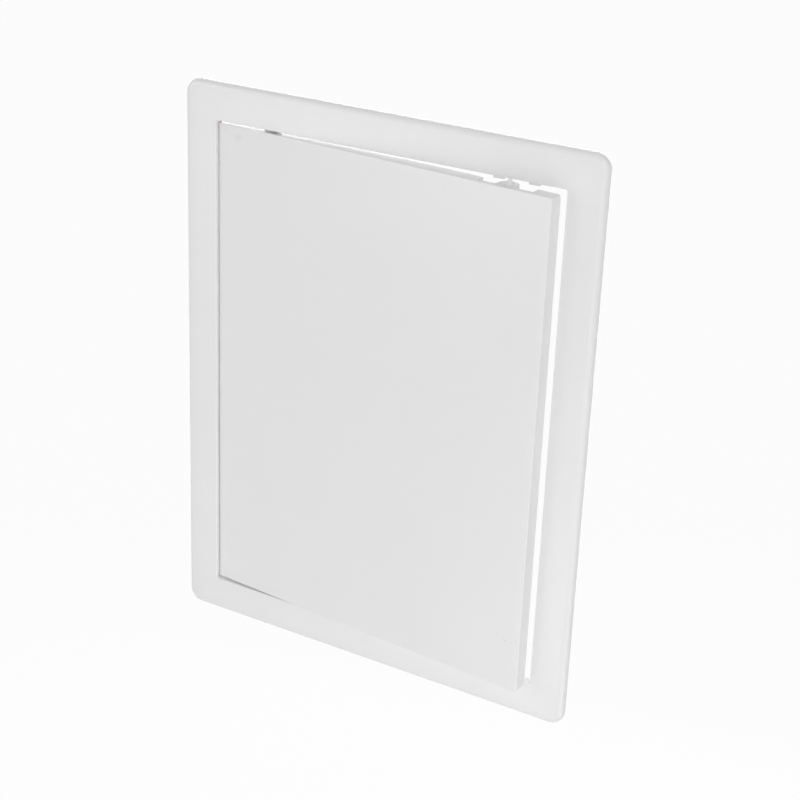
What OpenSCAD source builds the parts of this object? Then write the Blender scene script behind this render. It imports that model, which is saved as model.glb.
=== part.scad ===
// Access panel: a moulded frame that is glued over a wall opening, and a pan-shaped door.
// The door turns on two pins near its left edge and snaps shut on two sprung tongues.
// It is drawn lying on its back, face up, and then stood up against the wall:
// x runs to the right, y up the wall and z out of the wall, with z = 0 on the wall's surface.

/* [Frame] */
// Clear width of the opening
opening_w = 150; // [120:5:300]
// Clear height of the opening
opening_h = 200; // [120:5:400]
// Corner radius of the opening
opening_r = 1; // [0.6:0.1:2]
// Rounding of the opening's front edge
opening_edge_r = 0.3; // [0.2:0.1:0.6]
// Width of the flange that covers the cut edge of the wall
flange_w = 14.75; // [12:0.25:30]
// Height of the flange's face above the wall
flange_t = 2.5; // [2.5:0.1:3]
// Thickness of the flange's front skin, in front of the glue channel
skin_t = 1.4; // [1:0.1:1.6]
// Outer corner radius of the flange
corner_r = 6; // [5:0.5:9]
// Radius of the rounded outer rim
rim_r = 2.4; // [1:0.1:2.4]
// Width of the outer rim where it meets the wall
rim_wall = 2.4; // [2:0.1:3]
// Depth of the collar, from the flange's face to the collar's rear edge
collar_depth = 4; // [3.5:0.1:6]
// Wall thickness of the collar
collar_wall = 1.6; // [1.2:0.1:2.5]
// Thickness of the ribs across the glue channel
glue_rib_t = 1.2; // [0.8:0.1:2]
// Distance between the ribs across the glue channel
glue_rib_step = 25; // [15:1:50]

/* [Door] */
// Mean gap between the door and the opening, left and right
side_gap = 0.6; // [0.6:0.1:1.2]
// Mean gap between the door and the opening, top and bottom
end_gap = 0.9; // [0.8:0.1:1.4]
// How far the door stands to the hinge side of the opening's middle
door_shift = 0.1; // [0:0.05:0.1]
// How far the door hangs below the opening's middle
door_sag = 0.2; // [0:0.05:0.25]
// Thickness of the door's front plate
plate_t = 2; // [1.6:0.1:2.4]
// Depth of the door from its face to the rear edge of its skirt
skirt_depth = 6.3; // [6:0.1:10]
// Wall thickness of the skirt
skirt_wall = 1.5; // [1.2:0.1:2]
// Corner radius of the door
door_r = 1; // [0.8:0.1:1.2]
// Rounding of the door's front edge
door_edge_r = 0.35; // [0.2:0.05:0.6]
// Height of the ribs behind the door's plate
door_rib_h = 1.5; // [1:0.1:2]
// Thickness of the ribs behind the door's plate
door_rib_t = 1.2; // [0.8:0.1:2]
// Largest distance between the ribs behind the door's plate
door_rib_step = 50; // [30:5:80]

/* [Hinge] */
// Angle by which the door stands ajar
door_ajar = 4.2; // [4:0.1:90]
// Distance from the opening's left edge to the hinge pins
hinge_inset = 23; // [22:1:40]
// Distance from the flange's face back to the hinge pins
hinge_depth = 4.6; // [4.2:0.1:4.8]
// Diameter of the hinge pins
pin_d = 3; // [2:0.1:3.4]
// Running clearance around a pin in its lug, on the radius
pin_clearance = 0.08; // [0.05:0.01:0.1]
// Press fit of a pin in the door's boss, on the radius
pin_press = 0.02; // [0.01:0.01:0.04]
// How far a pin reaches into the door
pin_seat = 7; // [4:0.5:12]
// Length of a pin's bevelled tip
pin_tip = 0.5; // [0.3:0.1:0.8]
// Width of a pin's shoulder outside the pin
shoulder_ring = 1; // [0.6:0.1:1.4]
// Play between the lower pin's shoulder and its lug
shoulder_play = 0.2; // [0.1:0.05:0.3]
// Wall of the door's boss around a pin
boss_wall = 1.4; // [1:0.1:1.8]
// Wall of the frame's lug around a pin
lug_wall = 2.25; // [1.5:0.25:2.25]
// Height of the frame's lug, along the pin
lug_h = 3.5; // [3:0.5:6]

/* [Latch] */
// Distance from the opening's right edge to the middle of the tongues
latch_inset = 21.2; // [18:0.1:40]
// Width of a tongue
tongue_w = 7.8; // [6:0.1:12]
// Radius of a tongue's rear corners
tongue_r = 3; // [1:0.1:3]
// Width of the slot on each side of a tongue
slot_w = 7.5; // [6.6:0.1:9]
// What is left of the skirt in front of a slot
slot_root = 0.4; // [0.2:0.1:0.8]
// Diameter of a tongue's stud at its foot
stud_d = 4.2; // [3:0.1:5]
// Diameter of the stud's round tip
stud_tip_d = 1.3; // [1:0.1:1.6]
// Height of the stud above the skirt
stud_h = 2; // [1.6:0.1:2.4]
// Gap between the stud and the collar's rear edge when the door is shut
catch_gap = 0.25; // [0.1:0.05:0.4]
// Edge of the tongue behind the stud
tongue_margin = 0.3; // [0.1:0.1:1]
// Width of a door stop
stop_w = 4.2; // [3:0.1:4.8]
// How far a door stop reaches past the mean gap, behind the door's edge
stop_reach = 0.6; // [0.5:0.1:1]
// Gap between a door stop and the tongue beside it
stop_side_gap = 1.1; // [0.6:0.1:1.4]
// Gap between a door stop and the shut door
stop_gap = 0.1; // [0.05:0.05:0.2]

/* [Hidden] */
$fn = 64;
// How far a cutting tool runs past the face that it cuts
cut = 1;

frame_w = opening_w + 2 * flange_w;
frame_h = opening_h + 2 * flange_w;
collar_w = opening_w + 2 * collar_wall;
collar_h = opening_h + 2 * collar_wall;
collar_back = flange_t - collar_depth;

door_w = opening_w - 2 * side_gap;
door_h = opening_h - 2 * end_gap;
plate_back = flange_t - plate_t;
skirt_back = flange_t - skirt_depth;

hinge_x = -opening_w / 2 + hinge_inset;
hinge_z = flange_t - hinge_depth;
pin_r = pin_d / 2;
boss_r = pin_r + boss_wall;
lug_r = pin_r + lug_wall;

latch_x = opening_w / 2 - latch_inset;
stop_pitch = (tongue_w + stop_w) / 2 + stop_side_gap;
slot_front = plate_back - slot_root;
// Radius of the stud at the height where it passes the collar
stud_catch_r = stud_d / 2 - (stud_d - stud_tip_d) / 2 * (end_gap - door_sag) / stud_h;
stud_z = collar_back - catch_gap - stud_catch_r;
tongue_back = stud_z - stud_d / 2 - tongue_margin;

// Turns the lying panel upright, with its face towards -Y
module stand_up() rotate([90, 0, 0]) children();

// Repeats at the bottom what is drawn at the top
module top_and_bottom() {
    children();
    mirror([0, 1, 0]) children();
}

// Hangs what belongs to the door in the opening and swings it about the hinge pins
module ajar() {
    translate([hinge_x, -door_sag, hinge_z]) rotate([0, -door_ajar, 0])
        translate([-hinge_x, 0, -hinge_z]) children();
}

module round_rect(w, h, r) {
    square([w - 2 * r, h], center = true);
    square([w, h - 2 * r], center = true);
    for (x = [-1, 1], y = [-1, 1]) translate([x * (w / 2 - r), y * (h / 2 - r)]) circle(r);
}

// Runs a profile round a rectangle with rounded corners.
// The profile's x is measured outwards from the middle of the corner radius.
module sweep_round_rect(w, h, r) {
    for (side = [[w, h, 0], [h, w, 90], [w, h, 180], [h, w, 270]]) rotate([0, 0, side[2]]) {
        translate([side[0] / 2 - r, side[1] / 2 - r, 0]) {
            rotate([90, 0, 0]) linear_extrude(side[1] - 2 * r) children();
            rotate_extrude(angle = 90) children();
        }
    }
}

// Section through a plate's outer edge, rounded at its front
module edge_profile(width, back, front, round_r) {
    translate([0, back]) square([width, front - back - round_r]);
    translate([0, back]) square([width - round_r, front - back]);
    translate([width - round_r, front - round_r]) circle(round_r);
}

// A solid plate with rounded corners and a rounded front edge
module rounded_plate(w, h, r, back, front, round_r) {
    sweep_round_rect(w, h, r) edge_profile(r, back, front, round_r);
    translate([0, 0, back]) linear_extrude(front - back) square([w - 2 * r, h - 2 * r], center = true);
}

// What is cut away to round the front edge of the opening
module opening_edge_cut() {
    sweep_round_rect(opening_w, opening_h, opening_r) difference() {
        translate([opening_r / 2, flange_t - opening_edge_r])
            square([opening_r / 2 + opening_edge_r, opening_edge_r + cut]);
        translate([opening_r + opening_edge_r, flange_t - opening_edge_r]) circle(opening_edge_r);
    }
}

// The channel behind the flange that takes the glue, crossed by thin ribs
module glue_channel() {
    inner = [frame_w - 2 * rim_wall, frame_h - 2 * rim_wall];
    x_ribs = floor(collar_w / 2 / glue_rib_step);
    y_ribs = floor(collar_h / 2 / glue_rib_step);
    translate([0, 0, -cut]) linear_extrude(flange_t - skin_t + cut) difference() {
        round_rect(inner[0], inner[1], corner_r - rim_wall);
        square([collar_w, collar_h], center = true);
        for (i = [-x_ribs:x_ribs]) translate([i * glue_rib_step, 0])
            square([glue_rib_t, frame_h], center = true);
        for (i = [-y_ribs:y_ribs]) translate([0, i * glue_rib_step])
            square([frame_w, glue_rib_t], center = true);
    }
}

module collar() {
    translate([0, 0, collar_back]) linear_extrude(collar_depth - opening_edge_r) difference() {
        round_rect(collar_w, collar_h, opening_r + collar_wall);
        round_rect(opening_w, opening_h, opening_r);
    }
}

// The lug behind the top of the frame that the upper pin turns in
module hinge_lug() {
    translate([hinge_x, opening_h / 2, hinge_z]) rotate([-90, 0, 0]) {
        cylinder(r = lug_r, h = lug_h);
        translate([-lug_r, skin_t / 2 - hinge_depth, 0])
            cube([2 * lug_r, hinge_depth - skin_t / 2, lug_h]);
    }
}

// Two stops that reach through the skirt's slots and meet the back of the shut door
module door_stops() {
    drop = end_gap + stop_reach;
    for (side = [-1, 1])
        translate([latch_x + side * stop_pitch - stop_w / 2, opening_h / 2 - drop, collar_back])
            cube([stop_w, drop + collar_wall / 2, slot_front - stop_gap - collar_back]);
}

module frame() {
    color("whitesmoke") stand_up() difference() {
        union() {
            difference() {
                rounded_plate(frame_w, frame_h, corner_r, 0, flange_t, rim_r);
                glue_channel();
                translate([0, 0, -cut]) linear_extrude(flange_t + 2 * cut)
                    round_rect(opening_w, opening_h, opening_r);
                opening_edge_cut();
            }
            collar();
            top_and_bottom() {
                hinge_lug();
                door_stops();
            }
        }
        for (end = [-1, 1]) translate([hinge_x, end * opening_h / 2, hinge_z]) rotate([-90, 0, 0])
            cylinder(r = pin_r + pin_clearance, h = 2 * (lug_h + cut), center = true);
    }
}

// Shallow ribs behind the door's plate, from skirt to skirt
module door_ribs() {
    x_bays = ceil(door_w / door_rib_step);
    y_bays = ceil(door_h / door_rib_step);
    translate([0, 0, plate_back - door_rib_h]) linear_extrude(door_rib_h + plate_t / 2) {
        for (i = [1:x_bays - 1]) translate([(i / x_bays - 0.5) * door_w, 0])
            square([door_rib_t, door_h - skirt_wall], center = true);
        for (i = [1:y_bays - 1]) translate([0, (i / y_bays - 0.5) * door_h])
            square([door_w - skirt_wall, door_rib_t], center = true);
    }
}

// The plate with its skirt and its ribs
module door_pan() {
    difference() {
        rounded_plate(door_w, door_h, door_r, skirt_back, flange_t, door_edge_r);
        translate([0, 0, skirt_back - cut]) linear_extrude(plate_back - skirt_back + cut)
            square([door_w - 2 * skirt_wall, door_h - 2 * skirt_wall], center = true);
    }
    door_ribs();
}

module hinge_boss() {
    translate([hinge_x, door_h / 2 - pin_seat, hinge_z]) rotate([-90, 0, 0])
        cylinder(r = boss_r, h = pin_seat);
}

// The gap in the skirt that leaves room for a tongue and the slots beside it
module latch_gap() {
    translate([latch_x - tongue_w / 2 - slot_w, door_h / 2 - skirt_wall - cut, skirt_back - cut])
        cube([tongue_w + 2 * slot_w, skirt_wall + 2 * cut, slot_front - skirt_back + cut]);
}

module door() {
    color("whitesmoke") stand_up() ajar() difference() {
        union() {
            translate([-door_shift, 0, 0]) door_pan();
            top_and_bottom() hinge_boss();
        }
        top_and_bottom() latch_gap();
        for (end = [-1, 1]) translate([hinge_x, end * door_h / 2, hinge_z]) rotate([-90, 0, 0])
            cylinder(r = pin_r - pin_press, h = 2 * pin_seat, center = true);
    }
}

// A pin with a shoulder that keeps the door off the lug, and a bevelled tip
module hinge_pin() {
    reach = end_gap + lug_h;
    translate([hinge_x, door_h / 2, hinge_z]) rotate([-90, 0, 0]) {
        translate([0, 0, -pin_seat]) cylinder(r = pin_r, h = pin_seat + reach - pin_tip);
        translate([0, 0, reach - pin_tip]) cylinder(r1 = pin_r, r2 = pin_r - pin_tip, h = pin_tip);
        cylinder(r = pin_r + shoulder_ring, h = end_gap - door_sag - shoulder_play);
    }
}

module upper_hinge_pin() color("gainsboro") stand_up() ajar() hinge_pin();

module lower_hinge_pin() color("gainsboro") stand_up() ajar() mirror([0, 1, 0]) hinge_pin();

// Half section of the stud: a cone that ends in a round tip
module stud_profile() {
    tip_r = stud_tip_d / 2;
    polygon([[0, 0], [stud_d / 2, 0], [tip_r, stud_h - tip_r], [0, stud_h - tip_r]]);
    translate([0, stud_h - tip_r]) intersection() {
        circle(tip_r);
        square(tip_r);
    }
}

// A tongue stands in the gap of the skirt, joined to the plate along its root
module latch_tongue() {
    reach = slot_front - tongue_back;
    translate([latch_x, door_h / 2 - skirt_wall, 0]) {
        translate([0, 0, slot_front]) rotate([-90, 0, 0]) linear_extrude(skirt_wall) intersection() {
            translate([-tongue_w / 2, 0]) square([tongue_w, reach]);
            round_rect(tongue_w, 2 * reach, tongue_r);
        }
        translate([0, skirt_wall, stud_z]) rotate([-90, 0, 0]) rotate_extrude() stud_profile();
    }
}

module upper_latch_tongue() color("whitesmoke") stand_up() ajar() latch_tongue();

module lower_latch_tongue() color("whitesmoke") stand_up() ajar() mirror([0, 1, 0]) latch_tongue();

frame();
door();
upper_hinge_pin();
lower_hinge_pin();
upper_latch_tongue();
lower_latch_tongue();
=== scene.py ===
# %% [markdown]
# An access panel closes a hole in a wall that hides a valve or a pipe. It is two mouldings in white
# plastic: a flat frame that is glued over the hole, and a door shaped like a shallow pan that turns on
# two pins and snaps shut on two sprung tongues. Here it stands with its door a few degrees ajar.
# The shapes come finished from the construction model. This lesson gives them their plastic, a few
# small marks, a camera and soft light.

# %% Load the construction model
import math

import bmesh
import bpy
from mathutils import Matrix, Vector

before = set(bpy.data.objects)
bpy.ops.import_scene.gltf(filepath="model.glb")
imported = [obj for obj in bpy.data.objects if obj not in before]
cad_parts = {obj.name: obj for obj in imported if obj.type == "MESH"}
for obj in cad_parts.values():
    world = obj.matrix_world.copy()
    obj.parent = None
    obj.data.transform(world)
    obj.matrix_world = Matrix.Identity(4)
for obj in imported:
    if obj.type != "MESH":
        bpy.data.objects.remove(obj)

scene = bpy.context.scene
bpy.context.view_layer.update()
print("pieces of the model:", sorted(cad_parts))

# %% [markdown]
# A photograph of a flat panel shows its slant through the four edges of the frame, which all run to
# their own vanishing points. A camera could be placed by eye until the picture looks right. Here its
# angles, its distance and its lens were worked out from the corners of the frame instead, so that each
# edge falls where the photograph has it. Lamps are placed by the same two angles later on.

# %% Camera
PICTURE_SIDE = 800
FOCAL_PIXELS = 1812.6
SENSOR_MM = 36.0
AZIMUTH, ELEVATION, ROLL = 29.914, 23.261, 2.346
DISTANCE = 0.6971
TARGET = Vector((0.01017, 0.0, 0.00357))
NEAREST, FARTHEST = 0.05, 50.0


def direction(azimuth, elevation):
    """Which way a place lies from the panel, by angles in degrees: 0 is in front of it, 90 to its right."""
    turn, climb = math.radians(azimuth), math.radians(elevation)
    level = math.cos(climb)
    return Vector((math.sin(turn) * level, -math.cos(turn) * level, math.sin(climb)))


def aimed_camera():
    """A camera that looks at the target from the given angles, rolled about its own line of sight."""
    back = direction(AZIMUTH, ELEVATION)
    right = (-back).cross(Vector((0, 0, 1))).normalized()
    up = right.cross(-back)
    roll = math.radians(ROLL)
    rolled_right = right * math.cos(roll) + up * math.sin(roll)
    rolled_up = up * math.cos(roll) - right * math.sin(roll)
    turned = Matrix((rolled_right, rolled_up, back)).transposed().to_4x4()
    camera = bpy.data.objects.new("camera", bpy.data.cameras.new("camera"))
    scene.collection.objects.link(camera)
    camera.matrix_world = Matrix.Translation(TARGET + back * DISTANCE) @ turned
    camera.data.sensor_width = SENSOR_MM
    camera.data.lens = FOCAL_PIXELS / PICTURE_SIDE * SENSOR_MM
    camera.data.clip_start, camera.data.clip_end = NEAREST, FARTHEST
    return camera


camera = aimed_camera()
bpy.context.scene.camera = camera
print("lens in mm:", round(camera.data.lens, 1), "camera at", [round(c, 3) for c in camera.location])

# %% [markdown]
# Materials are built from nodes, and the same few steps come back in all of them: feeding a socket,
# doing a sum, opening a node group with named sockets, and making a color darker or lighter by a number
# that changes over the surface. Each step gets a small function, so that the recipes below read as
# recipes.

# %% Helpers for nodes
FLOAT, VECTOR, COLOR = "NodeSocketFloat", "NodeSocketVector", "NodeSocketColor"


def feed(tree, slot, value):
    """Links an input to a socket, or sets it to a plain value."""
    if isinstance(value, bpy.types.NodeSocket):
        tree.links.new(value, slot)
    else:
        slot.default_value = value


def add_math(tree, operation, first, second=0.0):
    """A math node. Its inputs are sockets or numbers; some operations leave the second one unused."""
    node = tree.nodes.new("ShaderNodeMath")
    node.operation = operation
    feed(tree, node.inputs[0], first)
    feed(tree, node.inputs[1], second)
    return node.outputs[0]


def scaled_color(tree, color, factor):
    """A color times a number that changes over the surface."""
    grey = tree.nodes.new("ShaderNodeCombineColor")
    for channel in grey.inputs:
        feed(tree, channel, factor)
    mix = tree.nodes.new("ShaderNodeMix")
    mix.data_type, mix.blend_type = "RGBA", "MULTIPLY"
    feed(tree, mix.inputs["Factor"], 1.0)
    feed(tree, mix.inputs["A"], color)
    feed(tree, mix.inputs["B"], grey.outputs[0])
    return mix.outputs["Result"]


def new_group(name, inputs, outputs):
    """A node group with named sockets: the group, what comes into it and what goes out of it."""
    group = bpy.data.node_groups.new(name, "ShaderNodeTree")
    for socket_name, kind, default in inputs:
        socket = group.interface.new_socket(name=socket_name, in_out="INPUT", socket_type=kind)
        if default is not None:
            socket.default_value = default
    for socket_name, kind in outputs:
        group.interface.new_socket(name=socket_name, in_out="OUTPUT", socket_type=kind)
    return group, group.nodes.new("NodeGroupInput").outputs, group.nodes.new("NodeGroupOutput").inputs


print("socket kinds:", FLOAT, VECTOR, COLOR)

# %% [markdown]
# Moulded plastic looks flat in a render when its color and its gloss are the same all over. Real white
# plastic is a little cloudy, its gloss varies with the polish of the mould, and its surface is very
# slightly wavy where it has shrunk. One node group makes these from noise at three scales, and each
# material sets its own amounts. Scales are in waves to the metre, and heights are in metres.

# %% A node group for moulded plastic
CLOUD_SCALE, CLOUD_DETAIL = 22.0, 3.0
GRAIN_SCALE, GRAIN_DETAIL = 2600.0, 2.0


def add_noise(group, position, scale, detail=0.0):
    """Noise between 0 and 1."""
    noise = group.nodes.new("ShaderNodeTexNoise")
    feed(group, noise.inputs["Vector"], position)
    feed(group, noise.inputs["Scale"], scale)
    feed(group, noise.inputs["Detail"], detail)
    return noise.outputs["Fac"]


def spread_around(group, middle, noise, spread):
    """The middle value, more or less by half the spread as the noise goes from 0 to 1."""
    swing = add_math(group, "MULTIPLY", add_math(group, "SUBTRACT", noise, 0.5), spread)
    return add_math(group, "ADD", middle, swing)


def moulded_plastic_group():
    group, inside, outside = new_group("moulded plastic", [
        ("Position", VECTOR, None),
        ("Color", COLOR, (1, 1, 1, 1)),
        ("Cloudiness", FLOAT, 0.02),
        ("Roughness", FLOAT, 0.25),
        ("Polish Spread", FLOAT, 0.05),
        ("Wave Scale", FLOAT, 34.0),
        ("Wave Height", FLOAT, 0.00006),
        ("Grain Height", FLOAT, 0.0000012),
    ], [("Color", COLOR), ("Roughness", FLOAT), ("Height", FLOAT)])
    clouds = add_noise(group, inside["Position"], CLOUD_SCALE, CLOUD_DETAIL)
    waves = add_noise(group, inside["Position"], inside["Wave Scale"])
    grain = add_noise(group, inside["Position"], GRAIN_SCALE, GRAIN_DETAIL)
    brightness = spread_around(group, 1.0, clouds, inside["Cloudiness"])
    roughness = spread_around(group, inside["Roughness"], clouds, inside["Polish Spread"])
    wave_height = add_math(group, "MULTIPLY", waves, inside["Wave Height"])
    grain_height = add_math(group, "MULTIPLY", grain, inside["Grain Height"])
    feed(group, outside["Color"], scaled_color(group, inside["Color"], brightness))
    feed(group, outside["Roughness"], roughness)
    feed(group, outside["Height"], add_math(group, "ADD", wave_height, grain_height))
    return group


MOULDED = moulded_plastic_group()
print("node group:", MOULDED.name, "with", len(MOULDED.nodes), "nodes")

# %% [markdown]
# A panel that has been handled shows a few marks that sit in one place: a nick and a rubbed patch. A
# faint arch where the plastic may have sunk over a thick spot is painted shade, a darkening of the color
# that stands in for how such a sink shades. They could be painted on a picture that wraps the piece. Here
# they are one pattern instead, a soft spot round a point, stretched and turned.
# Measured from a circle and not from the point, the spot becomes a ring, and a ring whose centre lies
# on the edge of the opening shows as an arch. The group gives only a mask.

# %% A node group for a soft spot or ring
def add_vector_math(tree, operation, first, second=(0, 0, 0)):
    """A vector math node. LENGTH gives a number and uses only the first input."""
    node = tree.nodes.new("ShaderNodeVectorMath")
    node.operation = operation
    feed(tree, node.inputs[0], first)
    feed(tree, node.inputs[1], second)
    return node.outputs["Value" if operation == "LENGTH" else "Vector"]


def spot_group():
    group, inside, outside = new_group("soft spot", [
        ("Position", VECTOR, None),
        ("Centre", VECTOR, (0, 0, 0)),
        ("Turn", FLOAT, 0.0),
        ("Size", VECTOR, (0.001, 0.001, 0.001)),
        ("Ring", FLOAT, 0.0),
    ], [("Mask", FLOAT)])
    from_centre = add_vector_math(group, "SUBTRACT", inside["Position"], inside["Centre"])
    turned = group.nodes.new("ShaderNodeVectorRotate")
    turned.rotation_type = "Y_AXIS"
    feed(group, turned.inputs["Vector"], from_centre)
    feed(group, turned.inputs["Angle"], inside["Turn"])
    stretched = add_vector_math(group, "DIVIDE", turned.outputs[0], inside["Size"])
    length = add_vector_math(group, "LENGTH", stretched)
    away = add_math(group, "ABSOLUTE", add_math(group, "SUBTRACT", length, inside["Ring"]))
    fade = group.nodes.new("ShaderNodeMapRange")
    fade.interpolation_type = "SMOOTHSTEP"
    feed(group, fade.inputs["Value"], away)
    feed(group, fade.inputs["To Min"], 1.0)
    feed(group, fade.inputs["To Max"], 0.0)
    feed(group, outside["Mask"], fade.outputs[0])
    return group


SPOT = spot_group()
print("node group:", SPOT.name, "with", len(SPOT.nodes), "nodes")

# %% [markdown]
# Each mark is a spot with its centre and size in metres, and a depth, the part of the color that it
# takes. The nick and the two rubbed patches are on the door's face. The arch is painted shade on the
# frame, over the upper latch.

# %% Marks
NICK = {"Centre": (0.0672, -0.0112, -0.0783), "Turn": math.radians(-30), "Size": (0.0014, 0.004, 0.00032)}
RUB = {"Centre": (-0.0652, -0.0015, 0.0946), "Size": (0.0036, 0.004, 0.0026)}
FAINT_RUB = {"Centre": (-0.0712, -0.0011, 0.0964), "Turn": math.radians(-10), "Size": (0.0026, 0.004, 0.0012)}
# Painted shade: a faint dark arch on the frame over the upper latch, where a sink would shade it.
PAINTED_SHADE_ARCH = {"Centre": (0.0573, -0.0025, 0.1), "Size": (0.0053, 0.01, 0.0016), "Ring": 2.5}
DOOR_MARKS = [(NICK, 0.26), (RUB, 0.045), (FAINT_RUB, 0.025)]
# The frame's only entry is the painted shade of the arch.
FRAME_PAINTED_SHADE = [(PAINTED_SHADE_ARCH, 0.012)]


def left_by(tree, position, marks):
    """The part of the color that the marks and the painted shade leave, which is 1 away from all of them."""
    left = 1.0
    for mark, depth in marks:
        spot = tree.nodes.new("ShaderNodeGroup")
        spot.node_tree = SPOT
        feed(tree, spot.inputs["Position"], position)
        for socket, value in mark.items():
            feed(tree, spot.inputs[socket], value)
        taken = add_math(tree, "MULTIPLY", spot.outputs["Mask"], depth)
        left = add_math(tree, "MULTIPLY", left, add_math(tree, "SUBTRACT", 1.0, taken))
    return left


print("marks on the door:", len(DOOR_MARKS), "on the frame:", len(FRAME_PAINTED_SHADE))

# %% [markdown]
# The frame and the door are the same white plastic. Light goes a millimetre or two into it before it
# comes out again, which keeps thin edges and narrow gaps pale, so the shader gets some subsurface
# scattering. The frame has warped a little as it cooled: its waves span about 90 mm, while those of the
# door's thicker plate are short and low. The hinge pins are a harder, duller plastic.

# %% Plastic materials
WHITE = (0.824, 0.818, 0.82)
PIN_WHITE = (0.782, 0.777, 0.779)
PLASTIC_IOR = 1.5
SHARE_UNDER_SURFACE = 0.6
REACH_UNDER_SURFACE = 0.0015


def plastic(name, color, finish, marks=()):
    """A moulded plastic. The finish gives the inputs of the group that differ from its own values."""
    material = bpy.data.materials.new(name)
    material.use_nodes = True
    tree = material.node_tree
    shader = tree.nodes["Principled BSDF"]
    shader.inputs["IOR"].default_value = PLASTIC_IOR
    shader.inputs["Subsurface Weight"].default_value = SHARE_UNDER_SURFACE
    shader.inputs["Subsurface Radius"].default_value = (1, 1, 1)
    shader.inputs["Subsurface Scale"].default_value = REACH_UNDER_SURFACE
    position = tree.nodes.new("ShaderNodeTexCoord").outputs["Object"]
    skin = tree.nodes.new("ShaderNodeGroup")
    skin.node_tree = MOULDED
    feed(tree, skin.inputs["Position"], position)
    feed(tree, skin.inputs["Color"], (*color, 1))
    for socket, value in finish.items():
        feed(tree, skin.inputs[socket], value)
    bump = tree.nodes.new("ShaderNodeBump")
    feed(tree, bump.inputs["Distance"], 1.0)
    feed(tree, bump.inputs["Height"], skin.outputs["Height"])
    color_here = skin.outputs["Color"]
    if marks:
        color_here = scaled_color(tree, color_here, left_by(tree, position, marks))
    feed(tree, shader.inputs["Base Color"], color_here)
    feed(tree, shader.inputs["Roughness"], skin.outputs["Roughness"])
    feed(tree, shader.inputs["Normal"], bump.outputs["Normal"])
    return material


WARPED = {"Roughness": 0.24, "Cloudiness": 0.03, "Wave Scale": 11.0, "Wave Height": 0.0005}
# The frame plastic carries the painted shade of the arch over the upper latch.
FRAME_PLASTIC = plastic("frame plastic", WHITE, WARPED, FRAME_PAINTED_SHADE)
DOOR_PLASTIC = plastic("door plastic", WHITE, {"Roughness": 0.25}, DOOR_MARKS)
PIN_PLASTIC = plastic("pin plastic", PIN_WHITE, {"Roughness": 0.36})
print("materials:", FRAME_PLASTIC.name, DOOR_PLASTIC.name, PIN_PLASTIC.name)

# %% [markdown]
# The shapes of the model are right as they are, so each piece only gets its material. The tongues are
# part of the door's moulding and take the same plastic.

# %% Dress the pieces
FINISHES = {
    "frame": FRAME_PLASTIC,
    "door": DOOR_PLASTIC,
    "upper_latch_tongue": DOOR_PLASTIC,
    "lower_latch_tongue": DOOR_PLASTIC,
    "upper_hinge_pin": PIN_PLASTIC,
    "lower_hinge_pin": PIN_PLASTIC,
}


def dress(piece, material):
    """Gives every material slot of a model piece the same finish."""
    if not piece.material_slots:
        piece.data.materials.append(material)
    for place in piece.material_slots:
        place.material = material


for node_name, material in FINISHES.items():
    dress(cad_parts[node_name], material)
print("dressed:", sorted(FINISHES))

# %% [markdown]
# The picture was taken on plain white, with no floor in sight, so the floor lies well below the panel.
# It glows white where the camera or a reflection sees it, and is plain paper to all other light. A small
# part of what the camera sees is that paper too, on which a shadow can show.

# %% Floor
FLOOR_HEIGHT = -0.75
FLOOR_HALF = 8.0
FLOOR_GLOW = 1.0
GLOW_SHARE = 0.95
PAPER_WHITE = 0.8


def seen_directly(tree):
    """1 for rays from the camera, a reflection or clear glass, and 0 for light that falls on the object."""
    path = tree.nodes.new("ShaderNodeLightPath").outputs
    seen = add_math(tree, "MAXIMUM", path["Is Camera Ray"], path["Is Glossy Ray"])
    return add_math(tree, "MAXIMUM", seen, path["Is Transmission Ray"])


def floor_material():
    material = bpy.data.materials.new("floor")
    material.use_nodes = True
    tree = material.node_tree
    tree.nodes.remove(tree.nodes["Principled BSDF"])
    paper = tree.nodes.new("ShaderNodeBsdfDiffuse")
    feed(tree, paper.inputs["Color"], (PAPER_WHITE, PAPER_WHITE, PAPER_WHITE, 1))
    glow = tree.nodes.new("ShaderNodeEmission")
    feed(tree, glow.inputs["Color"], (FLOOR_GLOW, FLOOR_GLOW, FLOOR_GLOW, 1))
    mix = tree.nodes.new("ShaderNodeMixShader")
    feed(tree, mix.inputs["Fac"], add_math(tree, "MULTIPLY", seen_directly(tree), GLOW_SHARE))
    feed(tree, mix.inputs[1], paper.outputs[0])
    feed(tree, mix.inputs[2], glow.outputs[0])
    feed(tree, tree.nodes["Material Output"].inputs["Surface"], mix.outputs[0])
    return material


def floor_plane():
    mesh = bpy.data.meshes.new("floor")
    shape = bmesh.new()
    bmesh.ops.create_grid(shape, x_segments=1, y_segments=1, size=FLOOR_HALF,
                          matrix=Matrix.Translation((0, 0, FLOOR_HEIGHT)))
    shape.to_mesh(mesh)
    shape.free()
    floor = bpy.data.objects.new("floor", mesh)
    scene.collection.objects.link(floor)
    mesh.materials.append(floor_material())
    return floor


floor = floor_plane()
print("floor at", FLOOR_HEIGHT, "m,", [round(side, 1) for side in floor.dimensions[:2]], "m wide")

# %% [markdown]
# The surroundings are white where the camera or a reflection sees them, while the light that they throw
# on the plastic is dimmer. That keeps a white backdrop and an object whose colors stay as they are set.

# %% Surroundings
BACKDROP_WHITE = 0.975
ROOM_LIGHT = 0.485

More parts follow.
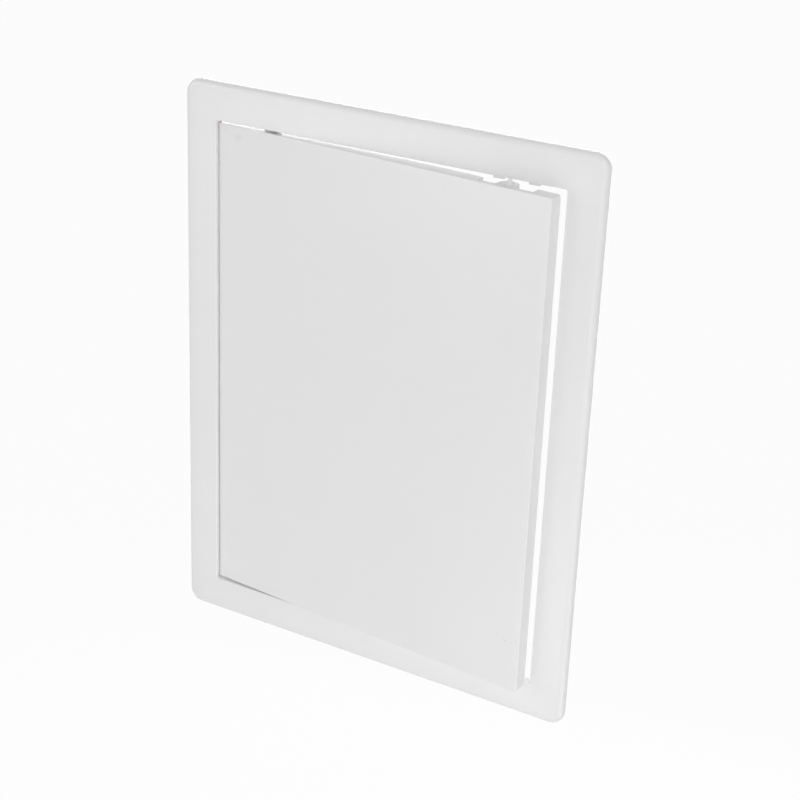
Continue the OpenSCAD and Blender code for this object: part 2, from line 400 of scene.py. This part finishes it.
world = bpy.data.worlds.new("studio")
scene.world = world
world.use_nodes = True
sky = world.node_tree
room = sky.nodes["Background"]
room.inputs["Color"].default_value = (1, 1, 1, 1)
extra = add_math(sky, "MULTIPLY", seen_directly(sky), BACKDROP_WHITE - ROOM_LIGHT)
feed(sky, room.inputs["Strength"], add_math(sky, "ADD", ROOM_LIGHT, extra))
scene.view_settings.view_transform = "Standard"
print("room light", ROOM_LIGHT, "seen as", BACKDROP_WHITE)

# %% [markdown]
# White plastic shows its form only through small differences in tone, so the lamps are many, weak and
# soft. Those low on the right reach into the gaps that the camera sees and leave the rims that face up
# a little darker than the face. The mirrored ones are small and stand where the camera sees them in the
# gloss: the flat face shows one spot of the room and the rounded rim another. The screens behind are
# the white backdrop. The edges that face up mirror it at a low angle, which draws the bright line in
# the gap over the door. The highest screen is only mirrored and lights nothing, so that the back keeps
# a plain tone.

# %% Lamps
LAMP_DISTANCE = 1.2


def soft_lamp(name, azimuth, elevation, size, power, distance=LAMP_DISTANCE):
    """A flat lamp that faces the panel, with its width, height and distance in metres, its power in watts."""
    lamp = bpy.data.objects.new(name, bpy.data.lights.new(name, "AREA"))
    scene.collection.objects.link(lamp)
    lamp.data.shape = "RECTANGLE"
    lamp.data.size, lamp.data.size_y = size
    lamp.data.energy = power
    away = direction(azimuth, elevation)
    facing = away.to_track_quat("Z", "Y").to_matrix().to_4x4()
    lamp.matrix_world = Matrix.Translation(away * distance) @ facing
    return lamp


soft_lamp("camera_lamp", 32, 12, (0.5, 0.5), 2.3)
soft_lamp("left_lamp", -50, 15, (0.8, 0.5), 1.85)
soft_lamp("high_right_lamp", 60, 50, (0.5, 0.5), 1.45)
soft_lamp("low_right_lamp", 43, -26, (1.3, 0.9), 1.85)
soft_lamp("near_low_right_lamp", 58, -36, (0.4, 0.3), 0.4, distance=0.6)
soft_lamp("mirrored_along_the_top", -31, -7, (0.28, 0.28), 0.52)
soft_lamp("mirrored_lower_right", -18, -37, (0.4, 0.4), 0.9)
soft_lamp("mirrored_in_the_right_rim", 4, -20, (0.25, 0.25), 0.55)
soft_lamp("screen_behind", 212, 12, (1.9, 0.5), 5.6)
soft_lamp("low_screen_behind", 195, -22, (1.0, 0.5), 2.15)
high_screen = soft_lamp("high_screen_behind", 204, 35, (1.2, 0.5), 5.0)
high_screen.visible_diffuse = False
